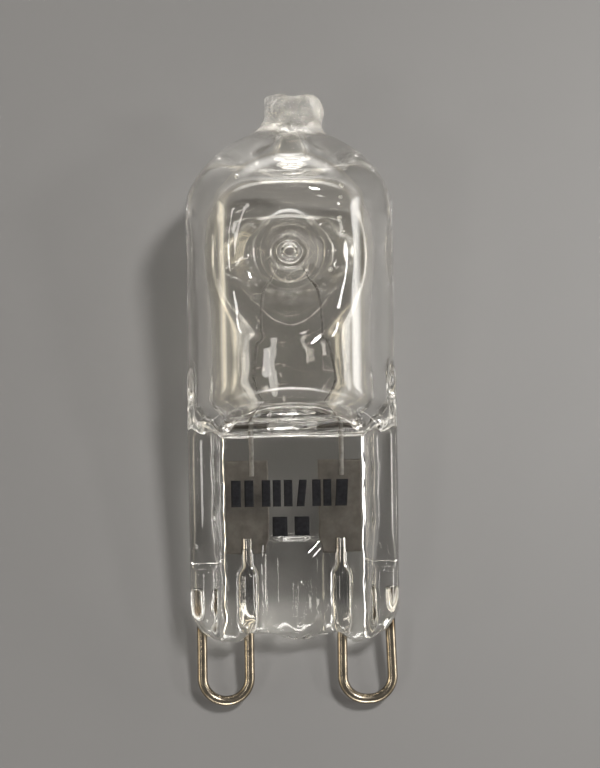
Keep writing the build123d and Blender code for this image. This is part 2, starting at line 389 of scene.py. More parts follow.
def tip(x, y, z):
    """Stub of the exhaust tube, melted shut and lumpy, with a short blind bore."""
    x = x - TIP_SHIFT
    rho, turn = np.hypot(x, y), np.arctan2(y, x)
    lumps = ripple(turn, z, TIP_LUMPS)
    radius = TIP_R - TIP_TAPER * slope(z, TIP_TAPER_START, TIP_TOP)
    crest = TIP_TOP - TIP_CREST_DROP + ripple(turn, z, TIP_CREST)
    stub = smooth_max(rho - radius - lumps, z - crest, TIP_ROUND)
    bore = smooth_max(rho - TIP_BORE_R - lumps, TIP_BORE_FOOT - z, TIP_BORE_ROUND)
    return smooth_max(stub, -bore, TIP_RIM_ROUND)


def foot(x, z):
    """Wavy foot of the pinch, which dips in a lobe round each pin."""
    return -FOOT_DROP - LOBE_DROP * slope(np.abs(x), LOBE_START, LOBE_START + LOBE_RUN) - z


def pinch_front(x, z):
    """Front outline of the pinch: wavy foot, rounded corners and ears."""
    ax = np.abs(x)
    corner_r, corner_z = by_side(x, CORNER_R), by_side(x, CORNER_HEIGHT)
    low = np.hypot(np.maximum(ax - PINCH_HALF + corner_r, 0.0), np.minimum(z - corner_z, 0.0)) - corner_r
    ear = np.hypot(np.maximum(ax - PINCH_HALF + EAR_R, 0.0), z - NECK_TOP) - EAR_R
    return smooth_max(np.where(z > NECK_TOP, ear, low), foot(x, z), EDGE_ROUND)


def pinch(x, y, z):
    """Flat pressed end, as thick as its rails, with a spring notch across both faces."""
    ay = np.abs(y)
    slab = smooth_max(pinch_front(x, z), ay - RAIL_HALF, PINCH_ROUND)
    ledge = RAIL_HALF - CATCH_DEPTH * (1.0 - (z - CATCH_HEIGHT) / CATCH_RAMP)
    notch = smooth_max(CATCH_HEIGHT - z, ledge - ay, EDGE_ROUND)
    return smooth_max(slab, -notch, CATCH_RIM_ROUND)


def recess(x, y, z):
    """Recess between the rails on both faces, down to the web."""
    above_web = np.abs(y) - WEB_HALF
    depth = RAIL_HALF - WEB_HALF
    flank = ((np.abs(x) - WEB_EDGE) * depth - above_web * FLANK_RUN) / math.hypot(depth, FLANK_RUN)
    step = ((z - STEP_HEIGHT) * depth - above_web * STEP_RUN) / math.hypot(depth, STEP_RUN)
    flank = flank + ripple(z, np.sign(x), FLANK_WAVES)
    cut = smooth_max(flank, ripple(x, z, WEB_WAVES) - above_web, RECESS_ROUND)
    return smooth_max(cut, step, EDGE_ROUND)


def raised_forms(x, y, z):
    """Ridge over each inner pin leg, the boss in the middle and its rib, on both faces."""
    ax, ay = np.abs(x), np.abs(y)
    over = np.maximum(z - RIDGE_LENGTH + RIDGE_R, 0.0)
    ridge = np.sqrt((ax - INNER_LEG_X) ** 2 + (ay - RIDGE_OUT) ** 2 + over**2) - RIDGE_R
    run = math.hypot(BOSS_PROUD, BOSS_RUN)
    side = ((ax - BOSS_HALF) * BOSS_PROUD + (ay - WEB_HALF) * BOSS_RUN) / run
    top = ((z - BOSS_HEIGHT) * BOSS_PROUD + (ay - WEB_HALF) * BOSS_RUN) / run
    face = ay - WEB_HALF - BOSS_PROUD
    boss = smooth_max(smooth_max(side, top, EDGE_ROUND), face, BOSS_FACE_ROUND)
    rib = np.hypot(x - RIB_X, face + RIB_SUNK) - RIB_R
    rib = smooth_max(rib, np.abs(z - RIB_MIDDLE) - RIB_HALF, EDGE_ROUND)
    forms = smooth_min(smooth_min(ridge, boss, RIDGE_BLEND), rib, RIB_BLEND)
    return smooth_max(forms, FORMS_FOOT - z, EDGE_ROUND)


def lumps_at_foot(x, y, z):
    """Slight lumps of the glass where it was pressed round the pins."""
    low = 1.0 - slope(z, *FOOT_LUMP_FADE)
    sway, sway_rate = FOOT_LUMP_SWAY
    across = np.sin(FOOT_LUMP_RATE * x + sway * np.sin(sway_rate * z))
    slanted = np.sin(sum(rate * place for rate, place in zip(FOOT_LUMP_RATES, (x, y, z))))
    return FOOT_LUMP * low * across * slanted


def bridge_and_dimples(x, y, z):
    """Distances of the glass bridge that crosses the cavity and of the two dimples in it."""
    ay = np.abs(y)
    rise = z - DIMPLE_HEIGHT
    out = np.maximum(ay - DIMPLE_END, 0.0) / (CAPSULE_R - DIMPLE_END)
    flare = BRIDGE_WAIST_R + (BRIDGE_FLARE_R - BRIDGE_WAIST_R) * out
    bridge = (np.hypot(x / BRIDGE_STRETCH, rise) - flare) * BRIDGE_EVEN
    # The funnel runs out into a lip, a round that lies against its cone
    lean_sin, lean_cos = math.sin(FUNNEL_LEAN), math.cos(FUNNEL_LEAN)
    lip_y = CAPSULE_R - LIP_R * math.cos(LIP_LEAN)
    lip_x = DIMPLE_END_R + (LIP_R + (lip_y - DIMPLE_END) * lean_sin) / lean_cos
    rho = np.hypot(x / DIMPLE_STRETCH, rise)
    cone = (rho - DIMPLE_END_R) * lean_cos - (ay - DIMPLE_END) * lean_sin
    along = (rho - lip_x) * lean_sin + (ay - lip_y) * lean_cos
    beyond = np.maximum(rho - lip_x, 0.0)
    lip = LIP_R - np.hypot(np.minimum(rho - lip_x, 0.0), ay - lip_y) + LIP_FADE * beyond**2
    funnel = np.where(along > 0.0, lip, cone)
    return bridge, smooth_max(funnel, DIMPLE_END - ay, DIMPLE_END_ROUND)


def cavity(x, y, z, bridge):
    """Sealed space in the capsule, with the nipple left by the exhaust tube."""
    wave = ripple(z, np.arctan2(y, x), BORE_WAVES)
    across = np.hypot(x, y) - (BORE_R - CAVITY_END_R) - wave
    above = z - (CAVITY_TOP - CAVITY_END_R)
    outside = np.hypot(np.maximum(across, 0.0), np.maximum(above, 0.0))
    space = np.minimum(np.maximum(across, above), 0.0) + outside - CAVITY_END_R
    narrow = np.clip((z - CAVITY_TOP) / (NIPPLE_TOP - CAVITY_TOP), 0.0, 1.0)
    radius = NIPPLE_R - (NIPPLE_R - NIPPLE_END_R) * narrow
    ends = np.maximum(NIPPLE_FOOT - z, z - NIPPLE_TOP)
    nipple = smooth_max(np.hypot(x - 0.5 * TIP_SHIFT, y) - radius, ends, NIPPLE_ROUND)
    space = smooth_min(space, nipple, NIPPLE_BLEND)
    floor = (CAVITY_APEX + NECK_PITCH * np.hypot(y, TROUGH_R) - z) / math.hypot(1.0, NECK_PITCH)
    space = smooth_max(space, floor, CAVITY_FLOOR_ROUND)
    return smooth_max(space, -bridge, BRIDGE_BLEND)


def capillaries(x, y, z):
    """Narrow gaps that the cooling glass leaves round the pin legs."""
    ax = np.abs(x)
    splay = by_side(x, OUTER_LEG_SPLAY) * (OUTER_LEG_TOP - z) / (OUTER_LEG_TOP - PIN_FOOT)
    legs = ((INNER_LEG_X, INNER_CAPILLARY_TOP), (OUTER_LEG_X + splay, OUTER_CAPILLARY_TOP))
    gaps = (smooth_max(np.hypot(ax - leg, y) - CAPILLARY_R, z - top, EDGE_ROUND) for leg, top in legs)
    return np.minimum(*gaps)


def lamp_glass(x, y, z):
    """Signed distance to the lamp's glass in millimetres, below nought inside it."""
    outside = smooth_min(capsule(x, y, z), pinch(x, y, z), PINCH_BLEND)
    outside = smooth_min(outside, tip(x, y, z), TIP_BLEND)
    outside = smooth_max(outside, -recess(x, y, z), EDGE_ROUND)
    outside = smooth_min(outside, raised_forms(x, y, z), FORMS_BLEND)
    front = slope(-y, -FOOT_TURN, FOOT_TURN)
    foot_round = FOOT_BACK_ROUND + (FOOT_FRONT_ROUND - FOOT_BACK_ROUND) * front
    outside = smooth_max(outside, foot(x, z), foot_round) - lumps_at_foot(x, y, z)
    bridge, dimple = bridge_and_dimples(x, y, z)
    outside = smooth_max(outside, -dimple, DIMPLE_ROUND)
    glass = np.maximum(outside, -cavity(x, y, z, bridge))
    return np.maximum(glass, -capillaries(x, y, z))


def steepest(field, points, reach):
    """Value and gradient of a distance field at some points."""
    steps = reach * np.eye(3)
    gradient = [(field(*(points + s).T) - field(*(points - s).T)) / (2.0 * reach) for s in steps]
    return field(*points.T), np.stack(gradient, 1)


def net_points(corners, crossed):
    """Place in each crossed cell, counted in cells: the mean of where the cell's edges are cut."""
    places = np.argwhere(crossed)
    total, hits = np.zeros((len(places), 3)), np.zeros(len(places))
    for start in np.ndindex(2, 2, 2):
        for axis in range(3):
            if start[axis] == 1:
                continue
            end = tuple(1 if a == axis else s for a, s in enumerate(start))
            va, vb = corners[start][crossed], corners[end][crossed]
            cut = (va < 0.0) != (vb < 0.0)
            at = np.tile(np.array(start, float), (len(places), 1))
            at[:, axis] += np.where(cut, va / np.where(cut, va - vb, 1.0), 0.0)
            total += at * cut[:, None]
            hits += cut
    return places + total / hits[:, None]


def net_faces(inside, number):
    """Four-sided faces, each between the four cells round a grid edge that the surface cuts."""
    faces = []
    for axis in range(3):
        u, v = (axis + 1) % 3, (axis + 2) % 3
        first, second = [slice(None)] * 3, [slice(None)] * 3
        first[axis], second[axis] = slice(0, -1), slice(1, None)
        edge = np.argwhere(inside[tuple(first)] != inside[tuple(second)])
        ring = []
        for du, dv in ((-1, -1), (0, -1), (0, 0), (-1, 0)):
            at = edge.copy()
            at[:, u] += du
            at[:, v] += dv
            ring.append(number[tuple(at.T)])
        ring = np.stack(ring, 1)
        flip = ~inside[tuple(edge.T)]
        ring[flip] = ring[flip][:, ::-1]
        faces.append(ring)
    return np.concatenate(faces)


def net_surface(field, low, high, cell):
    """Points and four-sided faces where a distance field is nought, one point in each cell it crosses."""
    margin = NET_MARGIN * cell
    axes = [np.arange(a - margin, b + margin, cell) for a, b in zip(low, high)]
    values = field(*np.meshgrid(*axes, indexing="ij"))
    cells = tuple(n - 1 for n in values.shape)
    corners = {}
    for corner in np.ndindex(2, 2, 2):
        corners[corner] = values[tuple(slice(c, c + n) for c, n in zip(corner, cells))]
    count = sum((v < 0.0).astype(np.int8) for v in corners.values())
    crossed = (count > 0) & (count < 8)
    number = np.full(cells, -1, np.int64)
    number[crossed] = np.arange(np.count_nonzero(crossed))
    points = np.array([a[0] for a in axes]) + cell * net_points(corners, crossed)
    return points, net_faces(values < 0.0, number)


def settle(field, points, faces, cell, rounds):
    """Evens out the points along the surface and puts them back on it."""
    ends = np.concatenate([faces[:, (a, (a + 1) % 4)] for a in range(4)])
    ends = np.concatenate([ends, ends[:, ::-1]])
    degree = np.bincount(ends[:, 0], minlength=len(points))
    for turn in range(rounds):
        if turn < rounds - 1:
            mean = [np.bincount(ends[:, 0], points[ends[:, 1], axis], len(points)) for axis in range(3)]
            points = 0.5 * points + 0.5 * np.stack(mean, 1) / degree[:, None]
        for _ in range(2):
            value, gradient = steepest(field, points, SLOPE_REACH * cell)
            size = np.maximum((gradient**2).sum(1), LEAST_SLOPE)
            move = np.clip(value / size, -LONGEST_MOVE * cell, LONGEST_MOVE * cell)
            points = points - gradient * move[:, None]
    return points


def joined(shapes):
    """Points and faces of several shapes as one."""
    points, faces, start = [], [], 0
    for places, sides in shapes:
        points.append(places)
        faces.append(sides + start)
        start += len(places)
    return np.concatenate(points), np.concatenate(faces)


def bubble(x, z, radius):
    """Points and faces of one bubble caught in the front wall, its faces turned into the bubble."""
    middle = 0.5 * (CAPSULE_R + BORE_R)
    centre = np.array((x, -math.sqrt(middle**2 - x**2), z))

    def around(*place):
        return radius - np.sqrt(sum((p - c) ** 2 for p, c in zip(place, centre)))

    cell = radius / BUBBLE_CELLS
    points, faces = net_surface(around, centre - radius, centre + radius, cell)
    return settle(around, points, faces, cell, BUBBLE_ROUNDS), faces


def glass_shape(cell):
    """Points and faces of the glass envelope and of the bubbles in it."""
    points, faces = net_surface(lamp_glass, GLASS_LOW, GLASS_HIGH, cell)
    points = settle(lamp_glass, points, faces, cell, GLASS_ROUNDS)
    return joined([(points, faces), *(bubble(*values) for values in BUBBLES)])


def thin_sheet(x, front, back, z):
    """Points and faces of a closed thin sheet over a grid of places, between a front and a back depth."""
    points = [np.stack([x, depth, z], -1).reshape(-1, 3) for depth in (front, back)]
    at = np.arange(x.size).reshape(x.shape)
    sheet = np.stack([at[:-1, :-1], at[1:, :-1], at[1:, 1:], at[:-1, 1:]], -1).reshape(-1, 4)
    rim = np.concatenate([at[:, 0], at[-1, 1:], at[-2::-1, -1], at[0, -2:0:-1]])
    after = np.roll(rim, -1)
    wall = np.stack([rim, rim + x.size, after + x.size, after], -1)
    return np.concatenate(points), np.concatenate([sheet, sheet[:, ::-1] + x.size, wall])


def foil_shape(side):
    """Points and faces of one foil: a strip that thins to a feather at its edges, a little wavy."""
    columns, rows = FOIL_GRID
    u, v = np.meshgrid(np.linspace(-1.0, 1.0, columns), np.linspace(0.0, 1.0, rows), indexing="ij")
    middle = FOIL_Y + ripple(v, side, FOIL_BOW) * (1.0 - u * u) + ripple(v, u, FOIL_CREASES)
    half = 0.5 * FOIL_THICKNESS * (1.0 - FOIL_FEATHER * u**2)
    x = side * INNER_LEG_X + 0.5 * FOIL_WIDTH * u
    return thin_sheet(x, middle - half, middle + half, FOIL_FOOT + FOIL_LENGTH * v)


def on_web(x, z):
    """Depth of the web's front face at some places, found on the glass itself."""
    y = np.full(x.shape, -WEB_HALF)
    for _ in range(WEB_STEPS):
        y = y + lamp_glass(x, y, z)
    return y


def marks_shape():
    """Points and faces of the printed marks: thin ink that follows the web's face."""
    columns, rows = MARK_GRID
    s, t = np.meshgrid(np.linspace(0.0, 1.0, columns), np.linspace(0.0, 1.0, rows), indexing="ij")
    shapes = []
    for low, high, marks in MARK_ROWS:
        for left, width, lean in marks:
            x, z = left + width * s + lean * t, low + (high - low) * t
            depth = on_web(x, z)
            shapes.append(thin_sheet(x, depth - INK_PROUD, depth + INK_SUNK, z))
    return joined(shapes)


def filament_path():
    """Path of the coil: up from the left lead, over the bridge and down to the right lead."""
    rise = DIMPLE_HEIGHT - LEAD_TOP
    left, right = (
        math.asin(LOOP_R / math.hypot(x, rise)) + math.atan2(rise, abs(x)) - math.pi / 2.0 for x in LEAD_X
    )
    turns = np.linspace(math.pi + left, -right, LOOP_STEPS)
    over = [(LOOP_R * math.cos(t), LEAD_Y, DIMPLE_HEIGHT + LOOP_R * math.sin(t)) for t in turns]
    return [(LEAD_X[0], LEAD_Y, LEAD_TOP), *over, (LEAD_X[1], LEAD_Y, LEAD_TOP)]


def pin_path(side, splay):
    """Path of one hairpin: down its splayed outer leg, across and up its inner leg."""
    return [
        (side * OUTER_LEG_X, 0.0, OUTER_LEG_TOP),
        (side * (OUTER_LEG_X + splay), 0.0, PIN_FOOT),
        (side * INNER_LEG_X, 0.0, PIN_FOOT),
        (side * INNER_LEG_X, 0.0, INNER_LEG_TOP),
    ]


def linked(name, data):
    """New object in the scene."""
    thing = bpy.data.objects.new(name, data)
    bpy.context.scene.collection.objects.link(thing)
    return thing


def mesh_from(name, points, faces, material):
    """Mesh object at the origin from points in the lamp's own frame."""
    place = np.array(LAMP)
    moved = points @ place[:3, :3].T + place[:3, 3]
    mesh = bpy.data.meshes.new(name)
    mesh.from_pydata(moved.tolist(), [], faces.tolist())
    mesh.polygons.foreach_set("use_smooth", [True] * len(mesh.polygons))
    mesh.materials.append(material)
    mesh.update()
    return linked(name, mesh)


def add_node(tree, kind, inputs=None, **settings):
    """Node of a kind with its settings, and with values or links put into its inputs."""
    node = tree.nodes.new(kind)
    for name, value in settings.items():
        setattr(node, name, value)
    for name, value in (inputs or {}).items():
        if isinstance(value, bpy.types.NodeSocket):
            tree.links.new(value, node.inputs[name])
        else:
            node.inputs[name].default_value = value
    return node


def math_node(tree, operation, *values, **settings):
    """Result of a sum on values or links."""
    inputs = dict(enumerate(values))
    return add_node(tree, "ShaderNodeMath", inputs, operation=operation, **settings).outputs[0]


def vector_node(tree, operation, *values):
    """Result of a sum on vectors, where SCALE takes a vector and a plain value."""
    inputs = dict(zip((0, "Scale" if operation == "SCALE" else 1), values))
    node = add_node(tree, "ShaderNodeVectorMath", inputs, operation=operation)
    return node.outputs["Value" if operation in ("DOT_PRODUCT", "LENGTH") else "Vector"]


def blend_colours(tree, mask, low, high):
    """Colour between two, by a mask."""
    low, high = (c if isinstance(c, bpy.types.NodeSocket) else (*c, 1.0) for c in (low, high))
    node = add_node(tree, "ShaderNodeMix", {"Factor": mask, "A": low, "B": high}, data_type="RGBA")
    return node.outputs["Result"]


def blend_values(tree, mask, low, high):
    """Value between two, by a mask."""
    node = add_node(tree, "ShaderNodeMapRange", {"Value": mask, "To Min": low, "To Max": high})
    return node.outputs["Result"]


def between(tree, value, low, high, soft):
    """Mask that is one between two values, with soft ends."""
    ends = []
    for start, end in ((low - soft, low + soft), (high + soft, high - soft)):
        inputs = {"Value": value, "From Min": start, "From Max": end}
        ends.append(add_node(tree, "ShaderNodeMapRange", inputs, interpolation_type="SMOOTHSTEP").outputs[0])
    return math_node(tree, "MULTIPLY", *ends)


def mottle_group():
    """Shader group: soft cloudy mask over a surface, in patches of a given size."""
    tree = bpy.data.node_groups.new("mottle", "ShaderNodeTree")
    for name, value in (("Patch Size", MM), ("Contrast", 1.0)):
        tree.interface.new_socket(name, in_out="INPUT", socket_type="NodeSocketFloat").default_value = value
    tree.interface.new_socket("Mask", in_out="OUTPUT", socket_type="NodeSocketFloat")
    given = add_node(tree, "NodeGroupInput")
    place = add_node(tree, "ShaderNodeTexCoord")
    scale = math_node(tree, "DIVIDE", 1.0, given.outputs["Patch Size"])
    cloud = add_node(
        tree,
        "ShaderNodeTexNoise",
        {"Vector": place.outputs["Object"], "Scale": scale, "Detail": 4.0, "Roughness": 0.6},
    )
    centred = math_node(tree, "SUBTRACT", cloud.outputs["Fac"], 0.5)
    mask = math_node(tree, "MULTIPLY_ADD", centred, given.outputs["Contrast"], 0.5, use_clamp=True)
    add_node(tree, "NodeGroupOutput", {"Mask": mask})
    return tree


def mottle(tree, patch_mm, contrast):
    """Mask of the mottle group, which is made on its first use, for a material."""
    group = bpy.data.node_groups.get("mottle") or mottle_group()
    inputs = {"Patch Size": patch_mm * MM, "Contrast": contrast}
    return add_node(tree, "ShaderNodeGroup", inputs, node_tree=group).outputs["Mask"]


def lamp_place(tree):
    """Place across the lamp, along it and out from its axis, in millimetres, for a material."""
    place = add_node(tree, "ShaderNodeTexCoord")
    offset = vector_node(tree, "SUBTRACT", place.outputs["Object"], LAMP.translation)
    right, up = (LAMP.col[axis].xyz.normalized() / MM for axis in (0, 2))
    across = vector_node(tree, "DOT_PRODUCT", offset, right)
    along = vector_node(tree, "DOT_PRODUCT", offset, up)
    out = vector_node(tree, "LENGTH", vector_node(tree, "CROSS_PRODUCT", offset, up))
    return across, along, out


def new_material(name):
    """Empty node material and its main shader."""
    material = bpy.data.materials.new(name)
    material.use_nodes = True
    return material, material.node_tree, material.node_tree.nodes["Principled BSDF"]


def glass_material(settings):
    """Clear quartz glass: painted shade in the pinch and in the bore, a milky tip and a frosted foot.

    Shadow rays pass straight through it, dimmed most at its edges and least at the foot, where a real
    lamp gathers light on the floor.
    """
    material, tree, surface = new_material("clear_quartz_glass")
    across, along, out = lamp_place(tree)
    # Painted shade: the pressed web, and its rails in part, are tinted darker for the pinch's shade on the
    # floor seen through them.
    web = blend_values(tree, between(tree, across, *WEB_BAND), RAIL_SHADE_SHARE, 1.0)
    web_shade_mask = math_node(tree, "MULTIPLY", web, between(tree, along, *WEB_SHADE_RUN))
    tint = blend_colours(tree, web_shade_mask, settings.colour, settings.painted_web_shade)
    # Painted shade: the bore takes a darker tint for the lamp's own shade on the floor, seen through the
    # cavity.
    bore = math_node(tree, "MULTIPLY", between(tree, out, *BORE_BAND), between(tree, along, *BORE_SHADE_RUN))
    tint = blend_colours(tree, bore, tint, settings.painted_bore_shade)
    tree.links.new(tint, surface.inputs["Base Color"])
    surface.inputs["IOR"].default_value = settings.refraction
    surface.inputs["Transmission Weight"].default_value = 1.0
    milky = between(tree, along, *MILKY_BAND)
    rough = math_node(tree, "MAXIMUM", milky, between(tree, along, *FROST_BAND))
    tree.links.new(blend_values(tree, rough, 0.0, FROST), surface.inputs["Roughness"])
    height = mottle(tree, TIP_PATCH, TIP_CONTRAST)
    bump = add_node(tree, "ShaderNodeBump", {"Height": height, "Strength": milky, "Distance": TIP_BUMP * MM})
    tree.links.new(bump.outputs["Normal"], surface.inputs["Normal"])
    clear = blend_colours(tree, between(tree, along, *GATHER_BAND), SHADOW_CLEAR, SHADOW_GATHERED)
    facing = add_node(tree, "ShaderNodeLayerWeight", {"Blend": SHADOW_EDGE_BLEND})
    shade = blend_colours(tree, facing.outputs["Facing"], clear, SHADOW_EDGE)
    through = add_node(tree, "ShaderNodeBsdfTransparent", {"Color": shade})
    path = add_node(tree, "ShaderNodeLightPath")
    mix = add_node(
        tree,
        "ShaderNodeMixShader",
        {0: path.outputs["Is Shadow Ray"], 1: surface.outputs["BSDF"], 2: through.outputs["BSDF"]},
    )
    tree.links.new(mix.outputs["Shader"], tree.nodes["Material Output"].inputs["Surface"])
    return material


def metal_material(name, low, high, roughness, patch_mm, grain_mm, sealed=None):
    """Worn bare metal: two shades in patches, uneven shine, a fine grain and a clean colour in the glass."""
    material, tree, surface = new_material(name)
    mask = mottle(tree, patch_mm, METAL_CONTRAST)
    colour = blend_colours(tree, mask, low, high)
    if sealed is not None:
        across, along, _ = lamp_place(tree)
        middle = between(tree, across, *LEG_BAND)
        inside = between(tree, along, *SEAL_BAND)
        colour = blend_colours(tree, inside, colour, blend_colours(tree, middle, BURNT_END, sealed))
        mask = math_node(tree, "MULTIPLY", middle, inside)
    tree.links.new(colour, surface.inputs["Base Color"])
    smooth, rough = roughness
    tree.links.new(blend_values(tree, mask, rough, smooth), surface.inputs["Roughness"])
    surface.inputs["Metallic"].default_value = 1.0
    grain = mottle(tree, grain_mm, GRAIN_CONTRAST)
    bump = add_node(
        tree, "ShaderNodeBump", {"Height": grain, "Strength": GRAIN_STRENGTH, "Distance": GRAIN_BUMP * MM}
    )
    tree.links.new(bump.outputs["Normal"], surface.inputs["Normal"])
    return material


def ink_material(settings):
    """Matt black ink, thin in places."""
    material, tree, surface = new_material("black_ink")
    mask = mottle(tree, INK_PATCH, INK_CONTRAST)
    thin = tuple(min(1.0, c * INK_THIN) for c in settings.ink)
    surface.inputs["Specular IOR Level"].default_value = INK_SHINE
    tree.links.new(blend_colours(tree, mask, settings.ink, thin), surface.inputs["Base Color"])
    tree.links.new(blend_values(tree, mask, *INK_ROUGHNESS), surface.inputs["Roughness"])
    return material


def floor_material(settings):
    """Plain pale satin floor with a faint unevenness."""
    material, tree, surface = new_material("pale_floor")
    mask = mottle(tree, FLOOR_PATCH, FLOOR_CONTRAST)
    low, high = (tuple(c * shade for c in settings.floor) for shade in FLOOR_SHADES)
    tree.links.new(blend_colours(tree, mask, low, high), surface.inputs["Base Color"])
    surface.inputs["Roughness"].default_value = FLOOR_ROUGHNESS
    return material


def group_sockets(tree, inputs):
    """Gives a wire's node tree its geometry, wire radius, material and other inputs, and returns them."""
    kinds = {"Geometry": "Geometry", "Wire Radius": "Float", **inputs, "Material": "Material"}
    for name, kind in kinds.items():
        tree.interface.new_socket(name, in_out="INPUT", socket_type="NodeSocket" + kind)
    tree.interface.new_socket("Geometry", in_out="OUTPUT", socket_type="NodeSocketGeometry")
    return add_node(tree, "NodeGroupInput").outputs


def sweep_and_close(tree, path, sides, given):
    """Ends a geometry tree: a round wire along a path, smooth, as real geometry with its material."""
    ring = add_node(
        tree, "GeometryNodeCurvePrimitiveCircle", {"Resolution": sides, "Radius": given["Wire Radius"]}
    )
    tube = add_node(
        tree,
        "GeometryNodeCurveToMesh",
        {"Curve": path.outputs[0], "Profile Curve": ring.outputs[0], "Fill Caps": True},
    )
    smooth = add_node(tree, "GeometryNodeSetShadeSmooth", {"Geometry": tube.outputs[0]})
    real = add_node(tree, "GeometryNodeRealizeInstances", {"Geometry": smooth.outputs[0]})
    finish = add_node(
        tree, "GeometryNodeSetMaterial", {"Geometry": real.outputs[0], "Material": given["Material"]}
    )
    add_node(tree, "NodeGroupOutput", {"Geometry": finish.outputs[0]})
    return tree


def wire_tree():
    """Geometry tree: a round wire along a path, with its corners bent to a radius."""
    tree = bpy.data.node_groups.new("wire_along_path", "GeometryNodeTree")
    given = group_sockets(tree, {"Bend Radius": "Float", "Sides": "Int"})
    bent = add_node(
        tree,
        "GeometryNodeFilletCurve",
        {"Curve": given["Geometry"], "Count": PIN_BEND_STEPS, "Radius": given["Bend Radius"]},
        mode="POLY",
    )
    return sweep_and_close(tree, bent, given["Sides"], given)


def coil_tree():
    """Geometry tree: a fine wire wound round a path."""
    tree = bpy.data.node_groups.new("coil_along_path", "GeometryNodeTree")
    given = group_sockets(tree, {"Coil Radius": "Float", "Turns": "Int", "Steps": "Int"})
    count = math_node(tree, "MULTIPLY", given["Turns"], given["Steps"])
    line = add_node(tree, "GeometryNodeCurvePrimitiveLine")
    run = add_node(
        tree, "GeometryNodeResampleCurve", {"Curve": line.outputs[0], "Count": count}, mode="COUNT"
    )
    along = add_node(tree, "GeometryNodeSplineParameter").outputs["Factor"]
    sample = add_node(
        tree, "GeometryNodeSampleCurve", {"Curves": given["Geometry"], "Factor": along}, mode="FACTOR"
    ).outputs
    angle = math_node(tree, "MULTIPLY", math_node(tree, "MULTIPLY", along, given["Turns"]), 2.0 * math.pi)
    side = vector_node(tree, "CROSS_PRODUCT", sample["Tangent"], sample["Normal"])
    place = sample["Position"]
    for direction, function in ((sample["Normal"], "COSINE"), (side, "SINE")):
        reach = math_node(tree, "MULTIPLY", math_node(tree, function, angle), given["Coil Radius"])
        place = vector_node(tree, "ADD", place, vector_node(tree, "SCALE", direction, reach))
    helix = add_node(tree, "GeometryNodeSetPosition", {"Geometry": run.outputs[0], "Position": place})
    return sweep_and_close(tree, helix, COIL_SIDES, given)


def shared_wire_tree():
    """The wire tree, made on its first use."""
    return bpy.data.node_groups.get("wire_along_path") or wire_tree()


def grow_on_path(name, tree, path, values):
    """Runs a geometry tree on a path in the lamp's own frame and returns a plain mesh object."""
    curve = bpy.data.curves.new(name + "_path", "CURVE")
    curve.dimensions = "3D"
    spline = curve.splines.new("POLY")
    spline.points.add(len(path) - 1)
    for point, place in zip(spline.points, path):
        point.co = (*(LAMP @ Vector(place)), 1.0)
    guide = linked(name + "_path", curve)
    modifier = guide.modifiers.new("grow", "NODES")
    modifier.node_group = tree
    names = {s.name: s.identifier for s in tree.interface.items_tree if s.in_out == "INPUT"}
    for key, value in values.items():
        modifier[names[key]] = value
    graph = bpy.context.evaluated_depsgraph_get()
    mesh = bpy.data.meshes.new_from_object(guide.evaluated_get(graph), depsgraph=graph)
    mesh.name = name
    guide.modifiers.remove(modifier)
    bpy.data.objects.remove(guide)
    bpy.data.curves.remove(curve)
    return linked(name, mesh)


def keep(piece, slot, *nodes):
    """Rides a finished piece on the lamp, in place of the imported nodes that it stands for."""
    if not piece.data.polygons:
        raise RuntimeError(piece.name + " came out empty")
    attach(piece, BODY)
    if nodes:
        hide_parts(*nodes)


def make_floor(settings):
    """Plain floor under the lamp."""
    mesh = bpy.data.meshes.new("floor")
    mesh.from_pydata([(-1, -1, 0), (1, -1, 0), (1, 1, 0), (-1, 1, 0)], [], [(0, 1, 2, 3)])
    mesh.materials.append(floor_material(settings))
    floor = linked("floor", mesh)


def area_light(name, place, size, power, colour):
    """Soft rectangular light that faces the lamp."""
    light = bpy.data.lights.new(name, "AREA")
    light.shape = "RECTANGLE"
    light.size, light.size_y = size
    light.energy = power
    light.color = colour
    lamp = linked(name, light)
    lamp.location = place
    lamp.rotation_euler = (-Vector(place)).to_track_quat("-Z", "Y").to_euler()


def make_lights(settings):
    """High light at the upper right, a small one far out at each side and a short one at the lower left."""
    left_power = LEFT_GLINT_SHARE * settings.glint_power
    area_light("key_light", (0.12, 0.09, 0.38), (0.04, 0.06), settings.key_power, DAYLIGHT)
    area_light("right_glint", (0.36, -0.05, 0.38), (0.05, 0.05), settings.glint_power, DAYLIGHT)
    area_light("left_glint", (-0.5, -0.08, 0.35), (0.03, 0.06), left_power, DAYLIGHT)
    area_light("fill_light", (-0.17, -0.12, 0.34), (0.07, 0.06), settings.fill_power, SOFT_LIGHT)


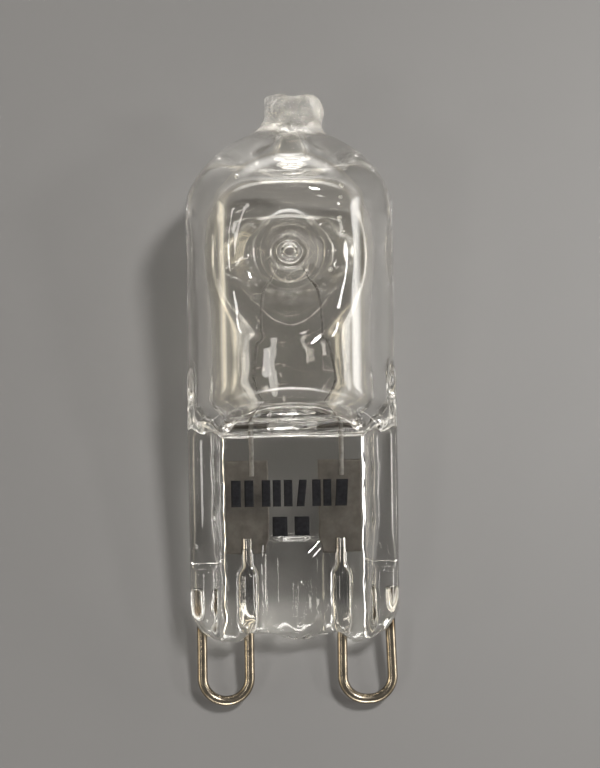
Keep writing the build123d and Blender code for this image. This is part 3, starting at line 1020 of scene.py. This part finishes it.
def make_world(scene, settings):
    """Soft grey room, warm and bright near the floor, with low windows on its four sides.

    What the lamp reflects and bends is the full room. Only a share of it lights the floor, which keeps
    the lamp's shadows.
    """
    world = bpy.data.worlds.new("room")
    world.use_nodes = True
    tree = world.node_tree
    background = tree.nodes["Background"]
    place = add_node(tree, "ShaderNodeTexCoord")
    direction = add_node(tree, "ShaderNodeSeparateXYZ", {0: place.outputs["Generated"]}).outputs
    ramp = add_node(tree, "ShaderNodeValToRGB", {"Fac": direction["Z"]})
    stops = ramp.color_ramp.elements
    for _ in ROOM_COLOURS[2:]:
        stops.new(1.0)
    for stop, (height, colour) in zip(stops, ROOM_COLOURS):
        stop.position, stop.color = height, (*colour, 1.0)
    light = ramp.outputs["Color"]
    for axis, low, high, soft, top, colour, share in WINDOWS:
        side = between(tree, direction[axis], low, high, soft)
        level = between(tree, direction["Z"], WINDOW_FOOT, top, WINDOW_SOFT)
        pane = vector_node(tree, "SCALE", colour, math_node(tree, "MULTIPLY", side, level))
        bright = vector_node(tree, "SCALE", pane, share * settings.window_power)
        light = vector_node(tree, "ADD", light, bright)
    tree.links.new(light, background.inputs["Color"])
    path = add_node(tree, "ShaderNodeLightPath").outputs
    in_glass = math_node(tree, "MAXIMUM", path["Is Glossy Ray"], path["Is Transmission Ray"])
    tree.links.new(blend_values(tree, in_glass, FLOOR_SHARE, 1.0), background.inputs["Strength"])
    scene.world = world


def make_camera(scene):
    """Camera at the photograph's angle."""
    camera = bpy.data.cameras.new("camera")
    camera.sensor_width = SENSOR_MM
    camera.lens = CAMERA_FOCUS_PX / max(PICTURE_SIZE) * SENSOR_MM
    camera.clip_start = CAMERA_NEAR * MM
    eye = linked("camera", camera)
    rise = math.radians(CAMERA_RISE)
    back = Vector((0.0, -math.cos(rise), math.sin(rise)))
    place = Vector(CAMERA_TARGET) * MM + back * CAMERA_DISTANCE * MM
    look = (-back).to_track_quat("-Z", "Y").to_matrix().to_4x4()
    eye.matrix_world = Matrix.Translation(place) @ look @ Matrix.Rotation(math.radians(CAMERA_ROLL), 4, "Z")
    scene.camera = eye


class LampGlassSettings(bpy.types.PropertyGroup):
    """Sizes and colours of the glass."""

    cell: FloatProperty(
        name="Cell", description="Spacing of the grid that the glass is meshed on",
        default=0.00018, min=0.0001, max=0.001, **LENGTH,
    )
    colour: FloatVectorProperty(
        name="Colour", description="Tint of the glass", default=(0.94, 0.935, 0.91), **COLOUR,
    )
    # Painted shade: darker tint of the pressed web for the shade on the floor seen through the pinch.
    painted_web_shade: FloatVectorProperty(
        name="Painted Web Shade", description="Tint of the pressed web", default=(0.60, 0.595, 0.58), **COLOUR,
    )
    # Painted shade: darker tint of the cavity's wall for the lamp's own shade on the floor seen through it.
    painted_bore_shade: FloatVectorProperty(
        name="Painted Bore Shade", description="Tint of the cavity's wall", default=(0.87, 0.855, 0.825), **COLOUR,
    )
    refraction: FloatProperty(
        name="Refraction", description="How strongly the glass bends light", default=1.46, min=1.0, max=2.0,
    )


class LampWireSettings(bpy.types.PropertyGroup):
    """Sizes and colours of the coil, foils, pins and print."""

    coil_radius: FloatProperty(
        name="Coil Radius", description="Radius of the coil to the middle of its wire",
        default=0.00008, min=0.00002, max=0.001, **LENGTH,
    )
    coil_wire: FloatProperty(
        name="Coil Wire", description="Radius of the wire that is coiled",
        default=0.000026, min=0.00001, max=0.0002, **LENGTH,
    )
    coil_turns: IntProperty(
        name="Coil Turns", description="Turns of the coil from lead to lead", default=210, min=10, max=2000,
    )
    pin_radius: FloatProperty(
        name="Pin Radius", description="Radius of the pins' wire",
        default=WIRE_R * MM, min=0.0001, max=0.002, **LENGTH,
    )
    pin_colour: FloatVectorProperty(
        name="Pin Colour", description="Colour of the pins' wire", default=(0.37, 0.315, 0.24), **COLOUR,
    )
    seal_colour: FloatVectorProperty(
        name="Seal Colour", description="Colour of the pins inside the glass", default=(0.66, 0.64, 0.61),
        **COLOUR,
    )
    foil_colour: FloatVectorProperty(
        name="Foil Colour", description="Colour of the sealing foils", default=(0.2, 0.182, 0.16), **COLOUR,
    )
    ink: FloatVectorProperty(
        name="Ink", description="Colour of the printed marks", default=(0.008, 0.008, 0.009), **COLOUR,
    )


class LampStageSettings(bpy.types.PropertyGroup):
    """Floor and lights."""

    floor: FloatVectorProperty(
        name="Floor", description="Colour of the floor", default=(0.24, 0.235, 0.232), **COLOUR,
    )
    key_power: FloatProperty(
        name="Key Light", description="Power of the high light", default=0.87, **POWER,
    )
    glint_power: FloatProperty(
        name="Glint Light", description="Power of the small light at the right", default=0.27, **POWER,
    )
    fill_power: FloatProperty(
        name="Fill Light", description="Power of the short light at the left", default=0.13, **POWER,
    )
    window_power: FloatProperty(
        name="Windows", description="Brightness of the low windows", default=4.8, min=0.0, max=100.0,
    )


class LAMP_OT_glass(bpy.types.Operator):
    """Makes the clear glass envelope"""

    bl_idname = "lamp.glass"
    bl_label = "Glass Envelope"

    def execute(self, context):
        settings = context.scene.lamp_glass
        cell = settings.cell / MM * 1.0
        envelope = mesh_from("envelope", *glass_shape(cell), glass_material(settings))
        keep(envelope, "glass", "glass_envelope")
        return {"FINISHED"}


class LAMP_OT_filament(bpy.types.Operator):
    """Makes the coiled filament over the glass bridge"""

    bl_idname = "lamp.filament"
    bl_label = "Filament"

    def execute(self, context):
        settings = context.scene.lamp_wires
        material = metal_material(
            "dark_tungsten", low=(0.16, 0.155, 0.15), high=(0.3, 0.29, 0.28), roughness=(0.35, 0.55),
            patch_mm=0.3, grain_mm=0.03,
        )
        values = {
            "Coil Radius": settings.coil_radius, "Wire Radius": settings.coil_wire,
            "Turns": settings.coil_turns, "Steps": COIL_STEPS, "Material": material,
        }
        keep(grow_on_path("coil", coil_tree(), filament_path(), values), "filament", "filament")
        return {"FINISHED"}


class LAMP_OT_leads(bpy.types.Operator):
    """Makes the two inner leads"""

    bl_idname = "lamp.leads"
    bl_label = "Inner Leads"

    def execute(self, context):
        material = metal_material(
            "grey_lead_wire", low=(0.2, 0.19, 0.18), high=(0.36, 0.35, 0.33), roughness=(0.3, 0.5),
            patch_mm=0.4, grain_mm=0.04,
        )
        values = {"Wire Radius": LEAD_R * MM, "Bend Radius": 0.0, "Sides": LEAD_SIDES, "Material": material}
        for x, word in zip(LEAD_X, ("left", "right")):
            path = [(x, LEAD_Y, LEAD_FOOT), (x, LEAD_Y, LEAD_TOP)]
            keep(grow_on_path(word + "_lead", shared_wire_tree(), path, values), "lead", word + "_inner_lead")
        return {"FINISHED"}


class LAMP_OT_foils(bpy.types.Operator):
    """Makes the two sealing foils with feathered edges"""

    bl_idname = "lamp.foils"
    bl_label = "Foils"

    def execute(self, context):
        colour = Vector(context.scene.lamp_wires.foil_colour)
        material = metal_material(
            "dull_foil", low=colour * 0.7, high=colour, roughness=(0.4, 0.6), patch_mm=0.8, grain_mm=0.06,
        )
        for side, word in ((-1, "left"), (1, "right")):
            keep(mesh_from(word + "_strip", *foil_shape(side), material), "foil", word + "_foil")
        return {"FINISHED"}


class LAMP_OT_pins(bpy.types.Operator):
    """Makes the two hairpin pins"""

    bl_idname = "lamp.pins"
    bl_label = "Pins"

    def execute(self, context):
        settings = context.scene.lamp_wires
        colour = Vector(settings.pin_colour)
        material = metal_material(
            "tarnished_nickel_wire", low=colour * 0.5, high=colour, roughness=(0.12, 0.25),
            patch_mm=0.5, grain_mm=0.05, sealed=settings.seal_colour,
        )
        values = {
            "Wire Radius": settings.pin_radius, "Bend Radius": PIN_BEND_R * MM,
            "Sides": PIN_SIDES, "Material": material,
        }
        for side, word, splay in zip((-1, 1), ("left", "right"), OUTER_LEG_SPLAY):
            path = pin_path(side, splay)
            keep(grow_on_path(word + "_hairpin", shared_wire_tree(), path, values), "pin", word + "_pin")
        return {"FINISHED"}


class LAMP_OT_marks(bpy.types.Operator):
    """Makes the plain printed marks on the web"""

    bl_idname = "lamp.marks"
    bl_label = "Printed Marks"

    def execute(self, context):
        keep(mesh_from("printed_marks", *marks_shape(), ink_material(context.scene.lamp_wires)), "")
        return {"FINISHED"}


class LAMP_OT_stage(bpy.types.Operator):
    """Makes the floor, the lights, the world and the camera"""

    bl_idname = "lamp.stage"
    bl_label = "Stage"

    def execute(self, context):
        scene = context.scene
        settings = scene.lamp_stage
        scene.view_settings.view_transform = "Standard"
        for name, count in BOUNCES.items():
            setattr(scene.cycles, name, count)
        make_floor(settings)
        make_lights(settings)
        make_world(scene, settings)
        make_camera(scene)
        return {"FINISHED"}


class LAMP_PT_panel(bpy.types.Panel):
    """Lists the lamp's settings and pieces in the sidebar"""

    bl_label = "Capsule Lamp"
    bl_idname = "LAMP_PT_panel"
    bl_space_type = "VIEW_3D"
    bl_region_type = "UI"
    bl_category = "Lamp"

    def draw(self, context):
        layout = self.layout
        for name in SETTINGS:
            group = getattr(context.scene, name)
            for key in group.__annotations__:
                layout.prop(group, key)
        for operator in OPERATORS:
            layout.operator(operator.bl_idname)


SETTINGS = {"lamp_glass": LampGlassSettings, "lamp_wires": LampWireSettings, "lamp_stage": LampStageSettings}
OPERATORS = (
    LAMP_OT_glass,
    LAMP_OT_filament,
    LAMP_OT_leads,
    LAMP_OT_foils,
    LAMP_OT_pins,
    LAMP_OT_marks,
    LAMP_OT_stage,
)
CLASSES = (*SETTINGS.values(), *OPERATORS, LAMP_PT_panel)


def register():
    """Adds the classes and the scene's settings to Blender."""
    for cls in CLASSES:
        bpy.utils.register_class(cls)
    for name, group in SETTINGS.items():
        setattr(bpy.types.Scene, name, PointerProperty(type=group))


def unregister():
    """Takes the scene's settings and the classes out of Blender."""
    for name in SETTINGS:
        delattr(bpy.types.Scene, name)
    for cls in reversed(CLASSES):
        bpy.utils.unregister_class(cls)


def main():
    """Builds every piece and the stage."""
    register()
    bpy.ops.lamp.glass()
    bpy.ops.lamp.filament()
    bpy.ops.lamp.leads()
    bpy.ops.lamp.foils()
    bpy.ops.lamp.pins()
    bpy.ops.lamp.marks()
    bpy.ops.lamp.stage()


if __name__ == "__main__":
    main()
